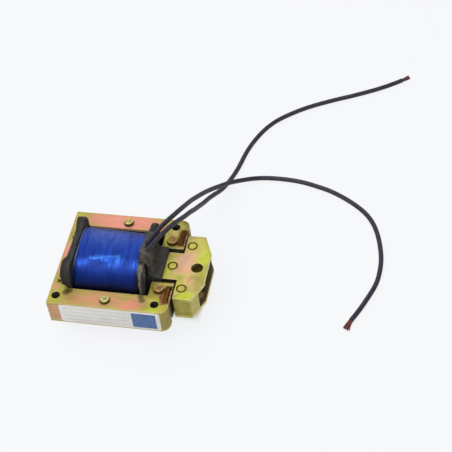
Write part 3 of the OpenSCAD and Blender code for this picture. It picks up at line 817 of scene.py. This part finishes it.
def filmFinish(f, look):  # thin blue film, pulled tight round the winding
    x, y, z = f.axis("x"), f.axis("y"), f.axis("z")
    streak = f.grain(1.8, 4, 0.6, (1, 0.06, 0.06))
    fine = f.grain(0.35, 3, 0.6, (1, 0.04, 0.04))
    thread = f.grain(0.9, 3, 0.6, (1, 0.07, 0.07))
    patch = f.grain(4.5, 4, 0.55, (1, 0.5, 0.5), 0.5)
    f.tint = f.mottled(streak, 0.3, 0.7, *look["turns"])
    haze = f.rise(y + (patch - 0.5) * 8, -3, 10) * (1 - 0.55 * f.rise((x + 13).size(), 5, 12))
    f.coat(haze * 0.85, look["haze"])  # paler towards the back: partly haze, partly a painted sheen of the backdrop
    f.coat(f.rise(patch, 0.48, 0.66) * 0.45, look["patch"])
    glint = f.stains(look["glints"]) * f.rise(streak * 0.3 + thread * 0.7, 0.38, 0.56)
    f.coat(glint * 0.9, look["glint"])
    f.coat(0.45 * f.fall(thread, 0.32, 0.54), look["thread"])
    # painted shade: darker on the lower side, at the foot against the leg and at the lower end by the front flange
    f.coat(0.75 * f.fall(z + (patch - 0.5) * 3, 34.9, 36.7), look["side"])
    f.coat(0.9 * f.fall(z, 27.0, 32.0), look["foot"])
    corner = f.rise(x + (fine - 0.5) * 2, 2.6, 5.6) * f.fall(z, 33.5, 36.5)
    f.coat(corner * 0.85, look["corner"])
    facing = f.within(y, -14, -10.5, -6, -2)  # painted darker where it faces the lamp, dimming the lamp's reflection
    f.coat(facing * (0.12 + 0.22 * f.rise(patch, 0.4, 0.6)), look["facing"])
    slack = f.stain(-14.6, -10.2, 6.4, 3.6, 0.4) * (0.55 + 0.45 * f.rise(streak, 0.35, 0.6))
    slack = slack.largest(f.stain(-0.8, -9.4, 2.4, 5.0, 0.3) * (0.6 + 0.4 * f.rise(fine, 0.4, 0.6)))
    f.coat(slack * 0.85, look["slack"])  # two patches painted darker, breaking up the lamp's reflection
    end = y - 0.14 * x + 4.7 + (f.grain(3, 3, 0.6, (1, 0.1, 0.1)) - 0.5) * 1.6  # where the last turn stops
    over = f.fall(end, -0.25, 0.25)
    lip = f.within(end, -1.3, -0.5, 0.0, 0.7) * f.fall((x + 12).size(), 6, 9)
    f.coat(lip * (0.3 + 0.4 * fine), look["lip"])  # the last turn's lip shines
    edge = f.rise((x - coilMidX + (fine - 0.5) * 0.6).size(), 15.9, 16.15)  # bare film edges
    f.coat(edge * f.rise(z, 33, 36) * 0.85, look["edge"])
    rough = 0.26 + 0.20 * streak + 0.12 * fine + 0.14 * (1 - over)
    relief = f.bump(streak * 0.9 + fine * 1.1 + patch * 1.2 + over * 0.5, 0.45, 0.14)
    return f.done(rough, relief, 0.82)


def leadFinish(f, low, high, fleck):  # soft insulation
    f.tint = f.mottled(f.grain(2.2, 4, 0.6), 0.35, 0.7, low, high)
    f.coat(f.rise(f.grain(0.9, 4), 0.54, 0.75) * 0.3, fleck)
    return f.done(0.40 + 0.16 * f.grain(1.5, 3), f.bump(f.grain(0.5, 3), 0.12, 0.06))


paperLook = {
    "paper": ((0.97, 0.96, 0.93), (0.91, 0.88, 0.81)),
    "fibre": (0.55, 0.52, 0.45),
    "band": (0.07, 0.17, 0.40),
    "rule": (0.20, 0.22, 0.27),
    "rules": (15.6, 18.4, 21.2, 24.0),  # heights in mm
}


def paperFinish(f, look):  # cream label with a blue end band and blank ruled fields
    x, z = f.axis("x"), f.axis("z")
    fibre = f.grain(0.5, 5, 0.6)
    f.tint = f.mottled(f.grain(6, 4, 0.55), 0.35, 0.7, *look["paper"])
    f.coat(fibre * 0.15, look["fibre"])
    worn = f.rise(f.grain(0.8, 5, 0.65), 0.36, 0.5)
    band = f.within(x, 5.1, 5.3, 17.3, 17.5) * f.within(z, 14.2, 14.4, 25.0, 25.2)
    f.coat(band * (0.85 + 0.15 * worn), look["band"])
    rules = sum(f.within(z, at - 0.14, at - 0.05, at + 0.05, at + 0.14) for at in look["rules"])
    span = f.within(x, -29.1, -28.9, 2.3, 2.5)
    f.coat(rules * span * (0.35 + 0.4 * worn), look["rule"])
    return f.done(0.55 + 0.2 * fibre, f.bump(fibre, 0.12, 0.03))


leadFleck, blackVarnish = (0.080, 0.070, 0.105), (0.012, 0.010, 0.010)
finishes = {}
for name, recipe, *settings in (
        ("framePlate", chromateFinish, framePlateLook),
        ("plungerPlate", chromateFinish, plungerPlateLook),
        ("wornEdge", wornFinish, edgeWearAndHighlightLook),
        ("frameEdge", edgeFinish, (0.43, 0.345, 0.09), (0.56, 0.46, 0.16), -33, frameInside, True),
        ("plungerEdge", edgeFinish, (0.40, 0.365, 0.05), (0.54, 0.49, 0.10), -60, plungerInside, False),
        ("yellowRivet", rivetFinish, (1.0, 0.93, 0.42), (0.50, 0.40, 0.06), (0.085, 0.060, 0.006)),
        ("yokeRivet", rivetFinish, (0.60, 0.52, 0.14), (0.44, 0.37, 0.08), (0.10, 0.07, 0.01)),
        ("bronzeRivet", rivetFinish, (0.78, 0.49, 0.17), (0.50, 0.30, 0.06), (0.075, 0.036, 0.004)),
        ("flushRivet", flushRivetFinish, flushLook),
        ("agedCopper", copperFinish, (0.25, 0.098, 0.014), (0.15, 0.056, 0.007), (0.06, 0.024, 0.004), 0.9),
        ("strandCopperA", copperFinish, (0.24, 0.085, 0.085), (0.14, 0.05, 0.05), (0.06, 0.03, 0.03)),
        ("strandCopperB", copperFinish, (0.32, 0.11, 0.08), (0.20, 0.066, 0.05), (0.10, 0.045, 0.025)),
        ("windingCopper", copperFinish, (0.55, 0.22, 0.07), (0.38, 0.13, 0.04), (0.16, 0.05, 0.02), 0.6,
         blackVarnish),
        ("solder", copperFinish, (0.55, 0.55, 0.55), (0.36, 0.36, 0.37), (0.15, 0.15, 0.15)),
        ("blackFibre", fibreFinish, fibreLook),
        ("blackCloth", clothFinish, clothLook),
        ("blueFilm", filmFinish, filmLook),
        ("leadCoatA", leadFinish, (0.017, 0.015, 0.026), (0.037, 0.033, 0.056), leadFleck),
        ("leadCoatB", leadFinish, (0.016, 0.012, 0.027), (0.037, 0.029, 0.061), leadFleck),
        ("labelPaper", paperFinish, paperLook)):
    finishes[name] = recipe(newFinish(name), *settings)
for leadName, (lead, strands) in leadPieces.items():
    dress(lead, finishes["leadCoat" + leadName[-1]])
    dress(strands, finishes["strandCopper" + leadName[-1]])
    softShade(lead, 60)
    softShade(strands)
print("finishes mixed:", len(finishes))

# plates and sheet packs of the frame and the plunger

plateLook = {"soft": 0.25, "steps": 2}
sheetLook = {"gap": 0.012, "soft": 0.09, "slip": 0.035}


def addPlate(node, name, finish, worn):
    piece = mergedCopy(node, name)
    dress(piece, finishes[finish])
    piece.data.materials.append(finishes[worn])
    softenEdges(piece, plateLook["soft"], plateLook["steps"], material=1)
    softShade(piece)
    return piece


def addSheets(node, name, count, seed):  # one sheet with softened edges, stacked with a little slip
    piece = mergedCopy(node, name)
    low, high = (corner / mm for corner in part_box(node))
    pick(piece, lambda at, way: not (way.z > 0.9 and at.z > high.z - 0.01))
    bpy.ops.mesh.delete(type="FACE")
    leave()
    pitch = (high.z - low.z) / count
    pushMod(piece, "SOLIDIFY", thickness=(pitch - sheetLook["gap"]) * mm, offset=-1)
    softenEdges(piece, sheetLook["soft"], 1)
    pushMod(piece, "ARRAY", count=count, use_relative_offset=False, use_constant_offset=True,
            constant_offset_displace=(0, 0, -pitch * mm))
    draw = random.Random(seed)
    slip = sheetLook["slip"]
    slips = [(draw.gauss(0, 1) * slip, draw.gauss(0, 1) * slip, 0) for _ in range(count)]
    moveVerts(piece, lambda at: slips[min(count - 1, max(0, int((high.z - at.z) / pitch)))])
    softShade(piece)
    return piece


for node, name, body, slot, finish, worn in (
        ("frame_top_plate", "frameTopPlate", "frame", "plated_steel", "framePlate", "wornEdge"),
        ("frame_bottom_plate", "frameBottomPlate", "frame", "plated_steel", "framePlate", "wornEdge"),
        ("plunger_top_plate", "plungerTopPlate", "plunger", "plated_steel", "plungerPlate", "wornEdge"),
        ("plunger_bottom_plate", "plungerBottomPlate", "plunger", "plated_steel", "plungerPlate", "wornEdge"),
        ("shading_ring_front", "shadingRingFront", "frame", "copper", "agedCopper", "agedCopper"),
        ("shading_ring_back", "shadingRingBack", "frame", "copper", "agedCopper", "agedCopper"),
        ("coil_tube", "coilTube", "frame", "black_fibre", "blackFibre", "blackFibre")):
    mount(addPlate(node, name, finish, worn), body, node)
for node, name, body, finish, count, seed in (
        ("frame_laminations", "frameSheets", "frame", "frameEdge", 24, 5),
        ("plunger_laminations", "plungerSheets", "plunger", "plungerEdge", 20, 6)):
    pack = addSheets(node, name, count, seed)
    dress(pack, finishes[finish])
    mount(pack, body, node)
print("plates and sheets stacked")

# rivets

rivetLook = {
    "sides": 36,
    "soft": 0.5,
    "pan": 0.45,  # width of the slope down to the head's dished middle, as a share of the head's radius
    "dish": 0.28,
    "stamp": {"reach": 2.3, "turn": 0.7, "wide": 0.36, "deep": 0.8},  # staking mark left by the setting tool
    "flushRadius": 2.5,
    "flushRings": [  # width and depth of each ring, from the plate's edge inwards
        (0.03, 0), (0.06, -0.4), (0.58, 0), (0.10, 0.4), (0.35, 0.07), (0.55, -0.08)],
}
stackLow, stackHigh = stackMid - stackHalf, stackMid + stackHalf


def addShank(name, x, y, radius, shapeEnd):  # runs through the stack, and shapeEnd models each end face
    deselect()
    bpy.ops.mesh.primitive_cylinder_add(vertices=rivetLook["sides"], radius=radius * mm, depth=2 * stackHalf * mm,
                                        location=millimetres(x, y, stackMid))
    settle()
    piece = nameActive(name)
    for sign, level in ((1, stackHigh), (-1, stackLow)):
        pick(piece, lambda at, way: way.z * sign > 0.9 and abs(at.z - level) < 0.01)
        shapeEnd(sign, level)
        leave()
    return piece


def addRivet(name, x, y, shank, head):  # flat head at each end

    def shapeHead(sign, level):
        bpy.ops.mesh.extrude_region_move()
        bpy.ops.transform.resize(value=(head / shank, head / shank, 1), center_override=millimetres(x, y, level))
        bpy.ops.mesh.extrude_region_move(TRANSFORM_OT_translate={"value": (0, 0, sign * headTall * mm)})
        bpy.ops.mesh.inset(thickness=head * rivetLook["pan"] * mm, depth=0)
        bpy.ops.transform.translate(value=(0, 0, -sign * rivetLook["dish"] * mm))

    piece = addShank(name, x, y, shank, shapeHead)
    rims = (stackHigh + headTall, stackLow - headTall)
    pick(piece, lambda at, way: any(abs(at.z - r) < 0.01 for r in rims) and abs(way.z) < 0.1
         and abs(math.hypot(at.x - x, at.y - y) - head) < 0.1, "EDGE")
    bpy.ops.mesh.bevel(offset=rivetLook["soft"] * mm, segments=3)
    leave()
    return piece


def stampCross(piece, x, y):
    stamp = rivetLook["stamp"]
    for way in (stamp["turn"], stamp["turn"] + math.pi / 2):
        deselect()
        bpy.ops.mesh.primitive_cube_add(
            size=1, location=millimetres(x, y, stackHigh + headTall), rotation=(0, 0, way),
            scale=millimetres(stamp["reach"] * 2, stamp["wide"], stamp["deep"]))
        settle()
        bar = bpy.context.object
        pushMod(piece, "BOOLEAN", object=bar, operation="DIFFERENCE", solver="EXACT")
        bpy.data.objects.remove(bar)


def addFlushRivet(name, x, y):  # level with the plate, in a ring groove

    def shapeRings(sign, level):
        for width, depth in rivetLook["flushRings"]:
            bpy.ops.mesh.inset(thickness=width * mm, depth=depth * mm)

    piece = addShank(name, x, y, rivetLook["flushRadius"], shapeRings)
    softShade(piece)
    return piece


for name, node, slot, finish, x, y, shank, head in (
        ("legRivets", "leg_rivets", "rivet_steel", "yellowRivet", -8.65, 25.3, 1.6, 2.3),
        ("yokeRivets", "yoke_rivets", "rivet_steel", "yokeRivet", -33.5, 14.0, 1.6, 2.3),
        ("poleRivets", "pole_rivets", "rivet_bronze", "bronzeRivet", 16.45, 15.5, 1.8, 2.7)):
    pair = [addRivet(name + str(side), x, side * y, shank, head) for side in (-1, 1)]
    if name == "poleRivets":
        stampCross(pair[0], x, -y)
    both = joinPieces(name, pair)
    softShade(both)
    dress(both, finishes[finish])
    mount(both, "frame", node)
flush = joinPieces("plungerRivets", [addFlushRivet("plungerRivet" + str(k), x, y)
                                     for k, (x, y) in enumerate(plungerRivetPlaces)])
dress(flush, finishes["flushRivet"])
mount(flush, "plunger", "plunger_rivets")
print("rivets set")

# coil: flanges, blue wrap and black lead tape

flangeLook = {
    "y": 19.8, "z": 19.7, "thick": 2.5, "round": 6.5, "roundSteps": 10, "cuts": 15, "soft": 0.35,
    "rim": (0.5, 0.6, 0.9, 1.2),
    "hole": (10.2, 9.0), "rings": 4,
    "rough": 0.16, "frayed": 0.22,  # wear of the rims above the plates
}
wrapLook = {
    "y": 19.2, "z": 18.0, "round": 16.5, "roundSteps": 24, "cuts": 3,
    "from": -26.95, "to": 6.35, "steps": 74, "thick": 0.5,
    "last": 0.12,  # thickness of the last turn
    "full": 0.8,  # wound fuller at the back
}


def addRoundedSheet(name, x, look):  # upright across x, with half sizes y and z and rounded corners
    deselect()
    bpy.ops.mesh.primitive_plane_add(size=2, location=millimetres(x, 0, stackMid), rotation=(0, math.pi / 2, 0))
    piece = nameActive(name)
    settle()
    moveVerts(piece, lambda at: (0, math.copysign(look["y"], at.y) - at.y,
                                 math.copysign(look["z"], at.z - stackMid) + stackMid - at.z))
    pickAll(piece, "VERT")
    bpy.ops.mesh.bevel(offset=look["round"] * mm, segments=look["roundSteps"], affect="VERTICES")
    leave()
    pick(piece, lambda at, way: abs(way.y) > 0.9999 or abs(way.z) > 0.9999, "EDGE")
    bpy.ops.mesh.subdivide(number_cuts=look["cuts"])
    leave()
    return piece


def addFlange(name, x, bend):  # bend takes y and z in mm and the face, -1 or 1, and gives the move along x
    piece = addRoundedSheet(name, x, flangeLook)
    pickAll(piece)
    for ring in flangeLook["rim"]:
        bpy.ops.mesh.inset(thickness=ring * mm)
    inset = sum(flangeLook["rim"])
    shares = [(hole / (flangeLook[way] - inset)) ** (1 / flangeLook["rings"])
              for way, hole in zip("yz", flangeLook["hole"])]
    for _ in range(flangeLook["rings"]):
        bpy.ops.mesh.extrude_region_move()
        bpy.ops.transform.resize(value=(1, *shares), center_override=millimetres(x, 0, stackMid))
    bpy.ops.mesh.delete(type="FACE")
    leave()
    pushMod(piece, "SOLIDIFY", thickness=flangeLook["thick"] * mm, offset=0)
    softenEdges(piece, flangeLook["soft"], 3, 50)

    def wear(at):
        y, z = at.y, at.z - stackMid
        free = ease(27, 30, at.z)
        frayed = flangeLook["frayed"] * free
        rough = flangeLook["rough"] * free * wander(y * 0.35, z * 0.35, at.x * 0.3, 4)
        face = min(1, max(-1, (at.x - x) / (flangeLook["thick"] / 2 - flangeLook["soft"])))
        return (bend(y, at.z, face) * (1 + 0.12 * wander(y * 0.2, z * 0.2, 0, 2)) + rough,
                frayed * wander(at.x, y * 0.3, z * 0.3, 5), frayed * wander(y * 0.3, at.x, z * 0.3, 6))

    moveVerts(piece, wear)
    softShade(piece, 50)
    dress(piece, finishes["blackFibre"])
    return piece


def rearBend(y, z, face):  # the rim leans out over the yoke, most at both upper corners
    lean = 0.5 + 1.7 * max(ease(9.7, 12.7, -y), ease(4, 17.8, y))
    far = 0.9 * ease(9, 18, y) * ease(27.4, 29, z)  # the inner face gives a little at the far corner
    return -lean * ease(27.4, 27.5 + lean, z) * (1 - face) / 2 - far * (1 + face) / 2


def frontBend(y, z, face):  # both sides lean towards the poles
    return 1.3 * ease(10.5, 18.5, -y) + 0.6 * ease(10, 13, y)


mount(addFlange("rearFlange", -28.2, rearBend), "frame", "rear_flange")
mount(addFlange("frontFlange", 7.6, frontBend), "frame", "front_flange")


def addWrap():
    piece = addRoundedSheet("coilWrap", wrapLook["from"], wrapLook)
    pickAll(piece, "EDGE")
    bpy.ops.mesh.select_all(action="SELECT")
    bpy.ops.mesh.delete(type="ONLY_FACE")
    bpy.ops.mesh.select_all(action="SELECT")
    step = (wrapLook["to"] - wrapLook["from"]) / wrapLook["steps"]
    for _ in range(wrapLook["steps"]):
        bpy.ops.mesh.extrude_region_move(TRANSFORM_OT_translate={"value": (step * mm, 0, 0)})
    bpy.ops.mesh.select_all(action="SELECT")
    bpy.ops.mesh.normals_make_consistent(inside=False)
    leave()

    def windings(at):
        x, y, z = at.x, at.y, at.z - stackMid
        out = Vector((0, y / wrapLook["y"], z / wrapLook["z"])).normalized()
        ends = min(x - wrapLook["from"], wrapLook["to"] - x)
        ridge = 0.12 * wander(x * 0.55, y * 0.02, z * 0.02, 1) + 0.07 * wander(x * 1.3, y * 0.04, z * 0.04, 2)
        lump = 0.22 * wander(x * 0.16, y * 0.10, z * 0.10, 3)
        last = wrapLook["last"] * (1 - ease(-0.5, 0.5, y - 0.106 * x + 4.9) if z > 0 else 1)
        sink = -0.15 * (1 - ease(0, 1.2, ends))
        full = wrapLook["full"] * (1 - ease(-27, 6, x)) * ease(29, 33, at.z) * ease(0, 9, y)
        return out * max(-0.3, ridge + lump + last + sink + full - 0.05)

    moveVerts(piece, windings)
    pushMod(piece, "SOLIDIFY", thickness=wrapLook["thick"] * mm, offset=-1)
    softShade(piece, 60)
    dress(piece, finishes["blueFilm"])
    return piece


mount(addWrap(), "frame", "coil_wrap")
print("coil wrapped")

tapeLook = {
    "half": 10.0, "thick": 0.55, "across": 44, "along": 72,
    "swell": 2.4,  # over the ends of the leads
    "profile": [  # x and z in mm, from the rim's inner edge over the flange and down on to the neck
        (5.9, 38.4), (6.0, 39.5), (6.7, 39.95), (7.7, 40.05), (8.8, 40.0), (9.5, 39.3), (9.9, 37.6),
        (10.2, 35.6), (10.5, 33.4), (10.9, 31.4), (11.8, 29.9), (13.2, 29.3), (14.8, 29.15), (16.3, 29.1)],
    "ridges": [  # over each lead: start, stop, half-widths at the top and the foot
        ((6.8, -5.6), (7.3, -0.3), 0.95, 2.0), ((7.9, -7.0), (9.0, -3.6), 1.0, 2.6)],
}


def ridgeShare(x, y):
    share = 0.5 * (1 - ease(0.4, 1, math.hypot((x - 8.6) / 3.4, (y + 4.5) / 6.5)))
    for start, stop, full, gone in tapeLook["ridges"]:
        run = (stop[0] - start[0], stop[1] - start[1])
        along = ((x - start[0]) * run[0] + (y - start[1]) * run[1]) / (run[0] ** 2 + run[1] ** 2)
        t = min(1, max(0, along))
        off = math.hypot(x - start[0] - t * run[0], y - start[1] - t * run[1])
        share = max(share, 1 - ease(full, gone, off))
    return share


def smoothLine(points, u):  # a place on a smooth line through the points, with u counted in points
    last = len(points) - 1
    k = min(last - 1, int(u))
    t = u - k
    near = [points[min(last, max(0, k + j))] for j in (-1, 0, 1, 2)]
    return [0.5 * (2 * b + (c - a) * t + (2 * a - 5 * b + 4 * c - d) * t * t + (3 * b - a - 3 * c + d) * t ** 3)
            for a, b, c, d in zip(*near)]


def addLeadTape():
    deselect()
    bpy.ops.mesh.primitive_grid_add(x_subdivisions=tapeLook["along"], y_subdivisions=tapeLook["across"], size=2)
    piece = nameActive("leadTape")
    settle()

    def lay(at):  # the flat grid runs from -1 to 1 m
        u, v = (at.x * mm + 1) / 2, at.y * mm
        x, z = smoothLine(tapeLook["profile"], u * (len(tapeLook["profile"]) - 1))
        y = v * tapeLook["half"]
        crease = 0.8 * wander(y * 0.42, z * 0.10, x * 0.10, 7)
        crease += 0.6 * wander(y * 0.9 + z * 0.15, z * 0.2, x * 0.2, 8)
        face = ease(0.15, 0.4, u) * (1 - ease(0.8, 1, u))
        belly = ease(31, 36, z) * (1 - ease(39, 40, z)) * (1 - ease(4, 8.5, abs(y + 3.5))) * ease(9.2, 9.6, x)
        swell = tapeLook["swell"] * ridgeShare(x, y) * ease(38.6, 39.7, z)
        y += 0.3 * wander(x * 0.6, z * 0.6, v * 2, 9)
        return Vector((x + crease * face + belly, y, z + abs(crease) * 0.35 * face + swell)) - at

    moveVerts(piece, lay)
    pushMod(piece, "SOLIDIFY", thickness=tapeLook["thick"] * mm, offset=-1)
    pushMod(piece, "SUBSURF", levels=1, render_levels=1)
    softShade(piece, 60)
    dress(piece, finishes["blackCloth"])
    return piece


mount(addLeadTape(), "frame", "lead_tape")
dressNode("winding", finishes["windingCopper"])
dressNode("lead_splices", finishes["solder"])
print("leads taped down")

# label, left blank

labelLook = {"low": (-31.55, -30.16, 13.2), "high": (19.45, -30.0, 26.2), "round": 1.5, "rim": 0.08, "raised": 0.03}


def addLabel():
    deselect()
    corners = list(zip(labelLook["low"], labelLook["high"]))
    bpy.ops.mesh.primitive_cube_add(size=1, location=millimetres(*((a + b) / 2 for a, b in corners)),
                                    scale=millimetres(*(b - a for a, b in corners)))
    settle()
    piece = nameActive("sideLabel")
    pick(piece, lambda at, way: abs(way.y) > 0.9, "EDGE")
    bpy.ops.mesh.bevel(offset=labelLook["round"] * mm, segments=6)
    leave()
    pick(piece, lambda at, way: way.y < -0.9)
    bpy.ops.mesh.inset(thickness=labelLook["rim"] * mm, depth=labelLook["raised"] * mm)
    leave()
    softShade(piece)
    dress(piece, finishes["labelPaper"])
    return piece


mount(addLabel(), "frame", "label")
print("label stuck on")
